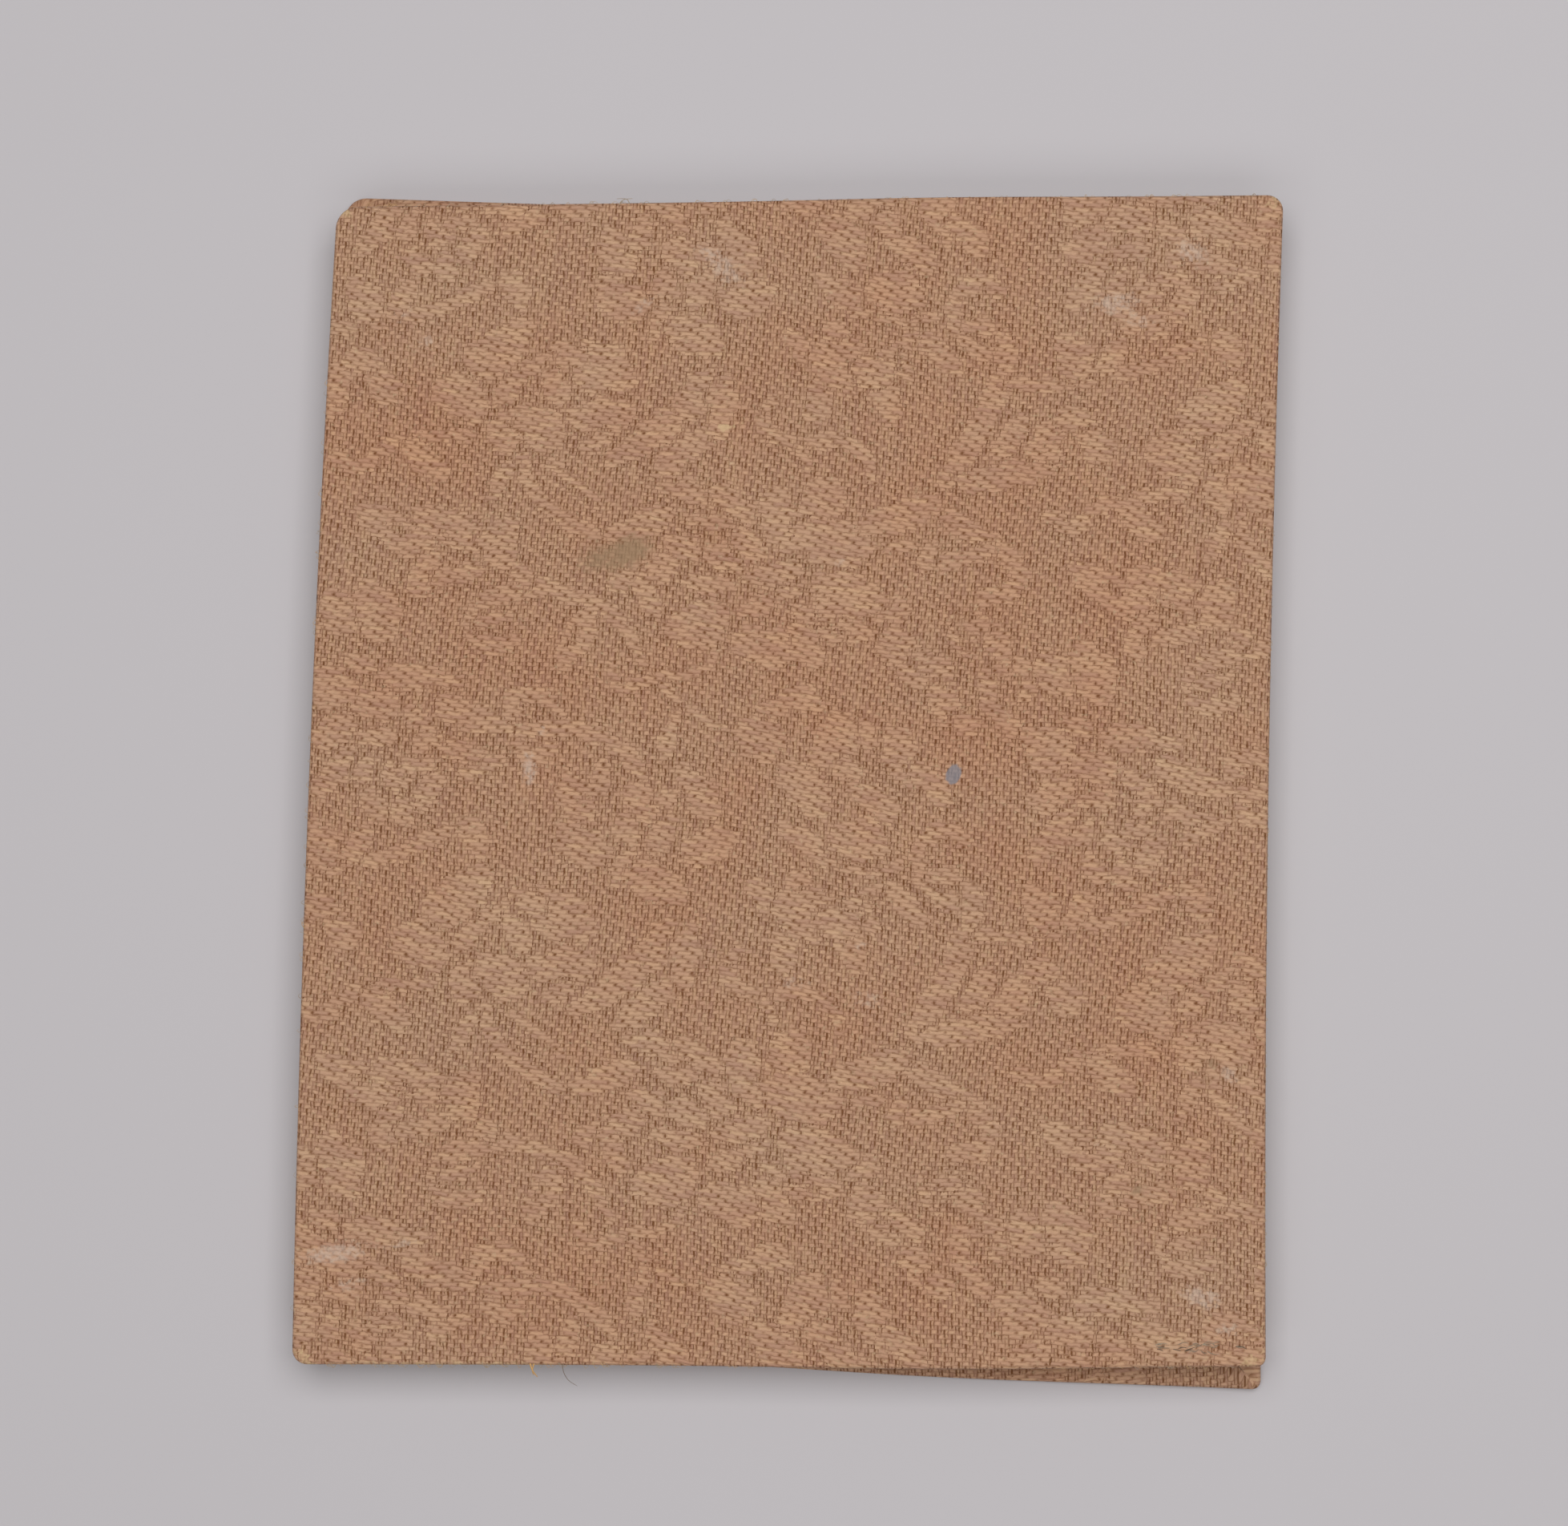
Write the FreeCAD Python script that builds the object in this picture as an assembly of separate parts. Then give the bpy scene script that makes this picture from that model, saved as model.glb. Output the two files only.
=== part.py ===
import FreeCAD, Part
import math
import os
from FreeCAD import Vector

# Accordion book: two boards covered in figured cloth, joined by one long strip of
# paper that is folded in a zigzag. It lies closed on its back cover.
# +X runs from the fore edge to the hinge edge, +Y to the head, +Z out of the front
# cover. Sizes are in millimetres and angles in degrees.

# Covers, measured over the cloth. Both long sides curve a little towards the fore edge.
cover_width = 97.0
side_bow = 0.6
front_height = 118.0
back_height = 118.5
corner_radius = 2.0

# The boards were cut by hand, so head and tail aren't square to the hinge edge:
# each rises or falls towards the hinge edge by its skew. The back cover also sits lower.
front_skew = 1.64
back_skew = -1.0
back_drop = 0.2

# Layers of one cover, from the outside in: cloth, board, turned-in cloth, pasted end panel.
cloth_thickness = 0.25
board_thickness = 0.8
end_panel_thickness = 0.2

# The cloth is turned in over all four edges of its board. The four flaps meet at
# mitred corners, with a narrow slit between the two folded edges that stops short of
# the corner's rim.
turn_in = 12.0
mitre_gap = 0.15
mitre_rim = 0.5

# The strip of paper: its panels, and the air between two of them. The number of free
# panels is even, so both covers hinge at the same edge.
paper_thickness = 0.18
panel_gap = 0.11
panel_count = 12
page_height = 113.0
fore_square = 1.8

# The two hinge folds stand a little inside the covers' hollow edge. The folds between
# them are set back, so that the corners of a cover can turn right over past them.
hinge_inset = 0.35
fold_clearance = 0.35
knuckle_clearance = 0.05

# The end panel is pressed down into the window that the turned-in flaps leave.
window_clearance = 0.03

panel_pitch = paper_thickness + panel_gap
fold_inner_radius = panel_gap / 2
fold_outer_radius = panel_gap / 2 + paper_thickness
strip_depth = panel_count * panel_pitch
hinge_x = cover_width / 2 - side_bow - hinge_inset
inner_fold_x = hinge_x - side_bow - hinge_inset - fold_clearance - fold_outer_radius
fore_fold_x = -cover_width / 2 + fore_square + fold_outer_radius

# Heights in a cover, counted outwards from its hinge axis.
end_panel_level = panel_gap / 2
turn_in_level = end_panel_level + end_panel_thickness
board_level = turn_in_level + cloth_thickness
outer_level = board_level + board_thickness + cloth_thickness

# A mitre starts this far from the sharp corner that the board's rounded one stands in for.
mitre_start = (math.sqrt(2) - 1) * (corner_radius - cloth_thickness) + mitre_rim


def cover_outline(height, skew, inset):
    """Outline of a cover in plan, this far inside the cloth's outer edge."""
    half_width = cover_width / 2 - inset
    half_height = height / 2 - inset
    rise = half_width * math.tan(math.radians(skew))
    fore_tail = Vector(-half_width, -half_height - rise, 0)
    hinge_tail = Vector(half_width, -half_height + rise, 0)
    hinge_head = Vector(half_width, half_height + rise, 0)
    fore_head = Vector(-half_width, half_height - rise, 0)
    fore_middle = Vector(-half_width - side_bow, -rise, 0)
    hinge_middle = Vector(half_width - side_bow, rise, 0)
    return Part.Wire([
        Part.makeLine(fore_tail, hinge_tail),
        Part.Arc(hinge_tail, hinge_middle, hinge_head).toShape(),
        Part.makeLine(hinge_head, fore_head),
        Part.Arc(fore_head, fore_middle, fore_tail).toShape(),
    ])


def slab(outline, low, high):
    """A flat plate of this outline between two heights."""
    face = Part.Face(outline)
    face.translate(Vector(0, 0, low))
    return face.extrude(Vector(0, 0, high - low))


def upright_edges(solid):
    """The straight edges that stand at the corners of a slab."""
    return [e for e in solid.Edges if len(e.Vertexes) == 2
            and e.Vertexes[0].Point.distanceToPoint(
                Vector(e.Vertexes[1].X, e.Vertexes[1].Y, e.Vertexes[0].Z)) < 1e-6]


def rim_edges(solid, *heights):
    """The edges that lie wholly at one of these heights."""
    return [e for e in solid.Edges
            if any(abs(e.BoundBox.ZMin - h) < 1e-6 and abs(e.BoundBox.ZMax - h) < 1e-6
                   for h in heights)]


def cover_slab(height, skew, inset, low, high):
    """A plate of a cover's outline, with its corners rounded in plan."""
    body = slab(cover_outline(height, skew, inset), low, high)
    return body.makeFillet(corner_radius - inset, upright_edges(body))


def cover_board(height, skew):
    """The stiff board: greyboard with crisp cut edges and worn corners."""
    return cover_slab(height, skew, cloth_thickness, board_level, board_level + board_thickness)


def turn_in_window(height, skew, inset=0.0):
    """Outline of the bare board that the four turned-in flaps leave open."""
    return cover_outline(height, skew, turn_in + inset)


def mitre_slit(outer_corner, window_corner):
    """The slit between two turned-in flaps, from near the board's corner into the window."""
    along = window_corner - outer_corner
    length = along.Length - mitre_start + mitre_gap
    slit = Part.makeBox(length, mitre_gap, cloth_thickness,
                        Vector(mitre_start, -mitre_gap / 2, 0))
    slit.rotate(Vector(0, 0, 0), Vector(0, 0, 1), math.degrees(math.atan2(along.y, along.x)))
    slit.translate(outer_corner + Vector(0, 0, turn_in_level))
    return slit


def cover_cloth(height, skew, board):
    """One sheet of cloth wrapped round the board, with its flaps mitred inside.

    Where it turns over the board's crisp edge its outside is as round as it is thick."""
    wrapped = cover_slab(height, skew, 0, turn_in_level, outer_level)
    wrapped = wrapped.makeFillet(cloth_thickness, rim_edges(wrapped, turn_in_level, outer_level))
    window = slab(turn_in_window(height, skew), turn_in_level, board_level)
    board_corners = cover_outline(height, skew, cloth_thickness).OrderedVertexes
    window_corners = turn_in_window(height, skew).OrderedVertexes
    slits = [mitre_slit(a.Point, b.Point) for a, b in zip(board_corners, window_corners)]
    return wrapped.cut(board).cut(window).cut(Part.makeCompound(slits))


def end_panel(height, skew, shift):
    """The strip's last panel, pasted to the board over the turned-in cloth.

    It is a sheet of even thickness that steps down into the window."""
    left = -cover_width / 2 + fore_square
    right = hinge_x - fold_outer_radius - knuckle_clearance
    low = -page_height / 2 - shift
    flat = Part.makeBox(right - left, page_height, end_panel_thickness,
                        Vector(left, low, end_panel_level))
    pressed = slab(turn_in_window(height, skew, window_clearance), turn_in_level, board_level)
    hollow = slab(turn_in_window(height, skew, window_clearance + end_panel_thickness),
                  end_panel_level, board_level - end_panel_thickness)
    return flat.fuse(pressed).cut(hollow).removeSplitter()


def fold_centres():
    """Centre of each fold in the strip's section, from the front hinge to the back one."""
    centres = []
    for fold in range(panel_count + 1):
        if fold in (0, panel_count):
            x = hinge_x
        elif fold % 2 == 0:
            x = inner_fold_x
        else:
            x = fore_fold_x
        centres.append(Vector(x, 0, -fold * panel_pitch))
    return centres


def half_fold(centre, radius, outward):
    """One surface of a fold: a half circle that bulges to this side, from top to bottom."""
    return Part.Arc(centre + Vector(0, 0, radius), centre + Vector(outward * radius, 0, 0),
                    centre + Vector(0, 0, -radius)).toShape()


def page_strip():
    """The zigzag strip between the two hinge folds, as one piece of paper.

    Its section follows both faces of the paper: along a fold one face takes the outer
    radius and the other the inner, and they change places at the next fold."""
    faces = [[], []]
    for number, centre in enumerate(fold_centres()):
        outward = 1 if number % 2 == 0 else -1
        radii = (fold_outer_radius, fold_inner_radius)
        if outward < 0:
            radii = radii[::-1]
        for face, radius in zip(faces, radii):
            arc = half_fold(centre, radius, outward)
            if face:
                face.append(Part.makeLine(face[-1].Vertexes[-1].Point, arc.Vertexes[0].Point))
            face.append(arc)
    start = Part.makeLine(faces[0][0].Vertexes[0].Point, faces[1][0].Vertexes[0].Point)
    end = Part.makeLine(faces[0][-1].Vertexes[-1].Point, faces[1][-1].Vertexes[-1].Point)
    section = Part.Face(Part.Wire(Part.__sortEdges__(faces[0] + faces[1] + [start, end])))
    section.translate(Vector(0, -page_height / 2, 0))
    return section.extrude(Vector(0, page_height, 0))


def cover(height, skew, shift):
    """Board, cloth and end panel of one cover, with its outside upwards."""
    board = cover_board(height, skew)
    pieces = [board, cover_cloth(height, skew, board), end_panel(height, skew, shift)]
    for piece in pieces:
        piece.translate(Vector(0, shift, 0))
    return pieces


def turned_over(piece):
    """The same piece with its outside downwards, hung from the back hinge."""
    below = piece.mirror(Vector(0, 0, 0), Vector(0, 0, 1))
    below.translate(Vector(0, 0, -strip_depth))
    return below


front_board, front_cloth, front_end_panel = cover(front_height, front_skew, 0)
back_board, back_cloth, back_end_panel = [
    turned_over(piece) for piece in cover(back_height, back_skew, -back_drop)]
nodes = {
    "front_board": front_board,
    "front_cloth": front_cloth,
    "front_end_panel": front_end_panel,
    "page_strip": page_strip(),
    "back_end_panel": back_end_panel,
    "back_board": back_board,
    "back_cloth": back_cloth,
}

# The origin is the middle of the footprint, on the surface that the book lies on.
whole = Part.makeCompound(list(nodes.values())).optimalBoundingBox(False, False)
to_origin = Vector(-whole.Center.x, -whole.Center.y, -whole.ZMin)

os.makedirs("parts", exist_ok=True)
for name, shape in nodes.items():
    shape.translate(to_origin)
    shape.exportStep("parts/" + name + ".step")
    print(name, "volume", round(shape.Volume, 2), "solids", len(shape.Solids),
          "valid", shape.isValid())
print("overall", round(whole.XLength, 3), round(whole.YLength, 3), round(whole.ZLength, 3))
print("front hinge axis x, z", round(hinge_x + to_origin.x, 4), round(to_origin.z, 4))
print("back hinge axis x, z", round(hinge_x + to_origin.x, 4),
      round(to_origin.z - strip_depth, 4))
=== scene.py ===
import math

import bmesh
import bpy
import numpy as np
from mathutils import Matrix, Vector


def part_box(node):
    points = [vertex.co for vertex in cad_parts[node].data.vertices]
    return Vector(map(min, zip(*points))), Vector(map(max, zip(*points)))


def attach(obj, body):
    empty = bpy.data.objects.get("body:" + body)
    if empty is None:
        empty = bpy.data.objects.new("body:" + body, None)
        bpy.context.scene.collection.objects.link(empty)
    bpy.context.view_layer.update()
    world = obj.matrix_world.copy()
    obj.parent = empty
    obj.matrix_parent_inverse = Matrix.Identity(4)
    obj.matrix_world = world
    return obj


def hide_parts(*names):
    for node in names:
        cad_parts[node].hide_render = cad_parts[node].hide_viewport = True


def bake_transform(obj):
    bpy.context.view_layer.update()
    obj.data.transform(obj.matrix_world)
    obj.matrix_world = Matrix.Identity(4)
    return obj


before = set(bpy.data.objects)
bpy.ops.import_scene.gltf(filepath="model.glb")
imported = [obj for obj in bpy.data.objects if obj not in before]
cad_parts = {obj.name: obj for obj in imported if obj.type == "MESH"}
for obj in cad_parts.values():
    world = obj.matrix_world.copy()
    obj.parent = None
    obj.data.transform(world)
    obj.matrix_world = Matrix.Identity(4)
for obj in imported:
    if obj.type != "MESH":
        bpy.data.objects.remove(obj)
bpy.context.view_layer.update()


# Boards. Two stiff pieces of greyboard, cut by hand and hidden between the cloth and the end
# panels. Waste-paper pulp gives them a flecked grey surface. Each keeps its CAD solid.
def node(tree, kind, inputs=(), **settings):
    """A shader node. An input is a plain value, or the socket that feeds it."""
    made = tree.nodes.new("ShaderNode" + kind)
    for name, value in settings.items():
        setattr(made, name, value)
    for key, value in dict(inputs).items():
        if isinstance(value, bpy.types.NodeSocket):
            tree.links.new(value, made.inputs[key])
        else:
            made.inputs[key].default_value = value
    return made


def maths(tree, operation, *values, **settings):
    """One sum on numbers, as a socket."""
    return node(tree, "Math", enumerate(values), operation=operation, **settings).outputs[0]


def between(tree, value, low, high):
    """0 below low, 1 above high, and a smooth rise from one to the other."""
    made = node(tree, "MapRange", {"Value": value, "From Min": low, "From Max": high},
                interpolation_type="SMOOTHSTEP")
    return made.outputs["Result"]


def blended(tree, share, first, second, way="MIX"):
    """Two colours mixed by a share of the second. Each is a socket or a linear colour."""
    mix = node(tree, "Mix", {"Factor": share}, data_type="RGBA", blend_type=way)
    for key, value in ((6, first), (7, second)):
        if isinstance(value, bpy.types.NodeSocket):
            tree.links.new(value, mix.inputs[key])
        else:
            mix.inputs[key].default_value = (*value, 1)
    return mix.outputs[2]


def new_group(name, inputs, outputs):
    """An empty node group, with its way in and way out. Sockets are named with their kind."""
    made = bpy.data.node_groups.new(name, "ShaderNodeTree")
    for way, sockets in (("INPUT", inputs), ("OUTPUT", outputs)):
        for label, kind in sockets.items():
            made.interface.new_socket(label, in_out=way, socket_type="NodeSocket" + kind)
    return made, made.nodes.new("NodeGroupInput").outputs, made.nodes.new("NodeGroupOutput").inputs


def new_material(name, roughness=0.9):
    """A material, its node tree and its shader."""
    made = bpy.data.materials.new(name)
    made.use_nodes = True
    shader = made.node_tree.nodes["Principled BSDF"]
    shader.inputs["Roughness"].default_value = roughness
    return made, made.node_tree, shader


def bumped(tree, shader, height, distance):
    """Raises the surface by a height from 0 to 1, times this distance in metres."""
    bump = node(tree, "Bump", {"Height": height, "Distance": distance})
    tree.links.new(bump.outputs["Normal"], shader.inputs["Normal"])


# Felted fibres with darker flecks between them, as in any sheet made from pulp.
pulp, given, result = new_group(
    "pulp", {"Place": "Vector", "Pale": "Color", "Dark": "Color", "Flecks per metre": "Float"},
    {"Color": "Color", "Height": "Float"})
cloud = node(pulp, "TexNoise", {"Vector": given["Place"], "Scale": 120, "Detail": 5})
fibre_place = node(pulp, "Mapping", {"Vector": given["Place"], "Scale": (1, 3.5, 1)})
fibre = node(pulp, "TexNoise", {
    "Vector": fibre_place.outputs[0], "Scale": 2600, "Detail": 3, "Distortion": 1.2})
fleck = node(pulp, "TexVoronoi", {"Vector": given["Place"], "Scale": given["Flecks per metre"]})
fleck_mask = between(pulp, fleck.outputs["Distance"], 0.14, 0.05)
uneven = maths(pulp, "MULTIPLY_ADD", fibre.outputs["Fac"], 0.5,
               maths(pulp, "MULTIPLY", cloud.outputs["Fac"], 0.5))
tone = between(pulp, uneven, 0.66, 0.34)
flecked = maths(pulp, "MAXIMUM", tone, maths(pulp, "MULTIPLY", fleck_mask, 0.8))
pulp.links.new(blended(pulp, flecked, given["Pale"], given["Dark"]), result["Color"])
pulp.links.new(fibre.outputs["Fac"], result["Height"])


def pulp_material(name, pale, dark, flecks_per_metre, depth):
    """A board's or paper's finish. Its colours are linear, and its depth is in metres."""
    made, tree, shader = new_material(name)
    sheet = node(tree, "Group", {
        "Place": node(tree, "TexCoord").outputs["Object"], "Pale": (*pale, 1), "Dark": (*dark, 1),
        "Flecks per metre": flecks_per_metre}, node_tree=pulp)
    tree.links.new(sheet.outputs["Color"], shader.inputs["Base Color"])
    bumped(tree, shader, sheet.outputs["Height"], depth)
    return made


greyboard = pulp_material("greyboard", pale=(0.30, 0.26, 0.20), dark=(0.16, 0.13, 0.10),
                          flecks_per_metre=900, depth=0.00004)
for name in ("front_board", "back_board"):
    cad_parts[name].data.materials.clear()
    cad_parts[name].data.materials.append(greyboard)


# Cloth. One sheet of figured silk damask for each cover, in a five-end satin weave. It is
# pasted over the board, turned in over all four edges and mitred at the corners.
MM = 0.001
COVER_WIDTH = 97.0
COVER_DEPTH = 1.3
SIDE_BOW = 0.6
CLOTH = 0.25
EDGE_ROUND = 0.45
COLUMNS, ROWS = 230, 280

# Each cover's height, its skew in degrees, and 1 if its outside faces up or -1 if it faces down.
COVERS = {"front": (118.0, 1.64, 1), "back": (118.5, -1.0, -1)}

# Where the middle of each cover lay on the woven cloth before it was cut.
CUT_AT = {"front": (0.0, 0.0), "back": (6.0, 21.0)}

# The radii of the worn corners, at head and tail. Those at the fore edge have worn more.
HINGE_CORNERS = (1.7, 0.9)
FORE_CORNERS = (2.2, 1.5)

# The points round each bend at the board's edge, and the steps in from the outline to the raw
# edge of the flap. From the third step on, a narrow slit parts a flap from the next one.
BEND_POINTS = 4
FLAP_STEPS = [0.8, 1.5, 2.6, 4.0, 6.0, 8.0, 10.0, 12.0]
MITRE_STEP = 1
MITRE_GAP = 0.075

# The weave's grain on the cover: the directions of weft and warp, and their spacing.
WEFT_TURN = math.radians(-5.3)
WARP_TURN = math.radians(88.1)
END_PITCH, PICK_PITCH = 0.345, 0.404

# The figure's repeat, as its two steps across the cloth; the gap that each shape keeps from what
# lies behind it; the depth of open ground; and how far outside a shape's points it is worked out.
STEP_UP = (1.9, 56.0)
STEP_ACROSS = (72.9, -6.8)
GAP = 0.54
OPEN_GROUND = -2.0
STEM_MARGIN, PETAL_MARGIN, EYE_MARGIN = 3, 2, 1

# The figure stands out of the ground by this much, over a slope of this width.
RELIEF = 0.03
RELIEF_SLOPE = 0.4

# One repeat, back to front. A petal or leaf is centre, half length, half width, turn.
PETALS = [
    # great peony
    (-15.6, 25.6, 3.6, 1.3, 20), (-11, 29, 4.2, 1.1, -22), (-5.8, 27.4, 3.8, 1.0, -38),
    (-14.8, 20.4, 3.8, 1.5, 18), (-14.6, 18.2, 2.4, 1.1, -62), (-8.6, 25.7, 2.4, .75, -8),
    (-10.2, 23, 2.8, 1.2, -20), (-7, 21.9, 2.7, 1.1, -30), (-8.3, 19.4, 2.8, .95, -8),
    (-9.2, 15.2, 3.3, 2.4, 10), (-4.3, 23.4, 2.1, 1.3, -50),
    (-1.4, 26, 3.5, 1.8, -72), (2.8, 27, 3.6, 2.1, 80), (4.2, 23.4, 3.9, 2.4, -18),
    (9, 17, 3.2, 1.5, -14), (5.5, 17.9, 3.7, 2.6, -10), (6.4, 14.4, 1.8, 1.2, 0),
    (-2.6, 13, 3.3, 2.0, -15), (1.8, 13.2, 2.6, 1.5, -60), (1.6, 16.1, 1.7, .6, -40),
    (4.1, 14.1, 1.4, .6, -25), (-3.4, 17.3, 2.0, 1.0, 15), (-.3, 18.7, 1.3, 1.0, 0),
    (-1.8, 20.4, 3.0, 1.1, 12),
    # chrysanthemum
    (-46.3, 8.8, 3.3, 2.2, -35), (-43.5, 11.5, 2.1, .9, -25), (-37.3, 10, 4.2, 1.4, -8),
    (-46, 4.6, 2.5, 1.7, 20), (-32.3, 6.2, 4.1, 1.4, -22), (-45.6, .6, 3.3, 1.3, 48),
    (-42.7, .9, 1.6, .9, 70), (-39.3, -.5, 2.3, 1.1, -50), (-38.6, -3.6, 1.7, 1.2, 80),
    (-36.2, -1.4, 2.2, 1.1, 60), (-41.7, -3, 1.7, 1.2, -60), (-30.9, .9, 2.6, .8, 22),
    (-33.4, 2.7, 2.6, 1.0, -15), (-37.4, 1.2, 1.7, .8, 0), (-36.6, 3.6, 1.7, .9, 30),
    (-37.7, 6, 2.0, 1.0, -35), (-41.6, 4.1, 1.9, 1.0, 0), (-41.8, 7.3, 2.4, 1.5, -10),
    # round rose
    (-21.3, -2.4, 2.8, 1.7, -65), (-18.7, -.4, 1.8, 1.1, 80), (-14.5, -2.8, 2.3, 1.6, -35),
    (-8.8, -1.8, 3.3, 1.5, -55), (-11.8, -2.4, 1.3, .8, 30), (-20.3, -7.2, 3.5, 1.8, -30),
    (-16, -5.7, 1.9, 1.2, -70), (-12.3, -6.2, 2.2, 1.3, 60), (-7.6, -7.2, 2.8, 1.8, 15),
    (-16.1, -9.4, 1.9, 1.2, 60), (-12.8, -11, 3.2, 1.9, -25),
    # open rose
    (-32.7, -12.3, 3.9, 2.4, 38), (-36.5, -17.1, 3.1, 2.2, -35), (-22.3, -14.4, 3.9, 2.6, -42),
    (-26, -12.8, 1.9, 1.3, -20), (-22, -19.3, 3.5, 1.8, 3), (-22.6, -21.9, 1.8, .8, 20),
    (-31.4, -20.3, 2.8, 1.7, 62), (-28.2, -20.2, 2.9, 2.0, -40), (-29, -14, 1.9, .9, 20),
    (-31.6, -16.3, 1.9, 1.1, 45), (-26.8, -16.1, 2.1, 1.2, -60),
    # little rose
    (-.9, 6.8, 2.6, .9, 8), (1.6, 7.7, 2.3, 1.2, -20), (7.2, 4.4, 2.6, 1.1, -38),
    (-2.7, 3.6, 2.7, 2.0, -25), (4.6, 2.7, 3.5, 2.2, 70), (2, -1.5, 3.5, 1.8, -48),
    (6.5, .2, 1.6, 1.2, -30),
    # lobed leaf and the leaves beside it
    (-1.2, -12.8, 3.2, 1.2, -42), (2.4, -11.8, 2.6, 1.5, -50), (.3, -17.3, 3.0, 1.3, 80),
    (6.7, -17.1, 3.2, 1.5, -68), (8.8, -14.7, 1.7, .7, -75), (2.6, -14.2, 3.4, 2.5, -20),
    (5.6, -15, 2.2, 1.5, 0), (12.5, -13.3, 3.0, 1.1, -42), (2.4, -7.1, 3.5, 1.2, -36),
    (9.2, -2.8, 2.9, 1.4, -32), (7.6, -6.8, 3.0, 2.2, -20),
    # leaves under the great peony
    (11.9, 12, 3.6, 1.8, -35), (13.6, 9.6, 2.6, 1.1, -20), (14.8, 11, 2.4, .9, -30),
    (16, 6.8, 2.4, 1.5, -52), (18.1, 5, 1.3, 1.3, 0), (17.3, 14, 2.3, 1.2, -70),
    (20.6, 13.9, 2.9, 1.3, -55), (18.6, 15, 1.6, .7, 0), (11.8, 1.5, 3.5, 1.7, -68),
    (14.9, -1.1, 2.9, 1.2, -48),
    # leaves at the left
    (-40.4, 25.2, 4.7, 1.9, -28), (-34.8, 25.4, 4.2, 1.7, -25), (-37.4, 20.6, 2.3, 1.4, 66),
    (-33.6, 20.8, 3.0, .9, 15), (-29.8, 23.8, 2.7, 1.8, 78), (-46.1, 16.8, 2.5, 1.6, -60),
    (-42.1, 16.9, 3.4, 2.1, -66), (-30.2, 30, 2.4, .8, 65), (-21.7, 13.9, 3.1, 1.5, 62),
    (-11.9, 3.9, 2.8, .8, 75),
    # long leaves by the open rose
    (-15.6, -20.4, 6.2, 1.6, 34), (-12.3, -17.2, 2.8, 1.9, 62), (-12.6, -22.4, 5.2, 1.3, 38),
    (-9.6, -18.4, 3.2, 1.3, 85), (-39.8, -23.7, 2.9, 1.3, -40),
    # bud and leaf ends of the branch
    (-46.9, -6.8, 2.6, 1.8, -50), (-43.2, -6.8, 2.0, 1.1, 60), (-31.4, -6, 2.4, 1.3, -60),
    # fan leaf
    (19.8, -22.6, 3.2, 1.5, 72), (23.1, -22.9, 2.8, 1.6, 58), (26.7, -20.8, 2.9, 1.4, -50),
    (28.5, -22.8, 2.0, 1.5, -30), (19.2, -25.8, 4.8, 1.3, 8),
    # leaf of the scroll
    (11, 26.3, 4.2, 1.6, 18), (13.8, 22, 1.8, .8, 70),
]

# Dark eyes in the leaves: the same five numbers.
EYES = [(-22, 14.2, 1.2, .45, 62), (-40.3, 25.4, 1.5, .35, -28), (-35.2, 24.6, 1.3, .35, -25),
        (-3.2, 18.6, .8, .5, 0), (1.3, 3.6, 1.2, .9, 60), (18.1, 12.9, 1.0, .6, -40),
        (9.5, -8.7, 1.3, .35, 0)]

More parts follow.
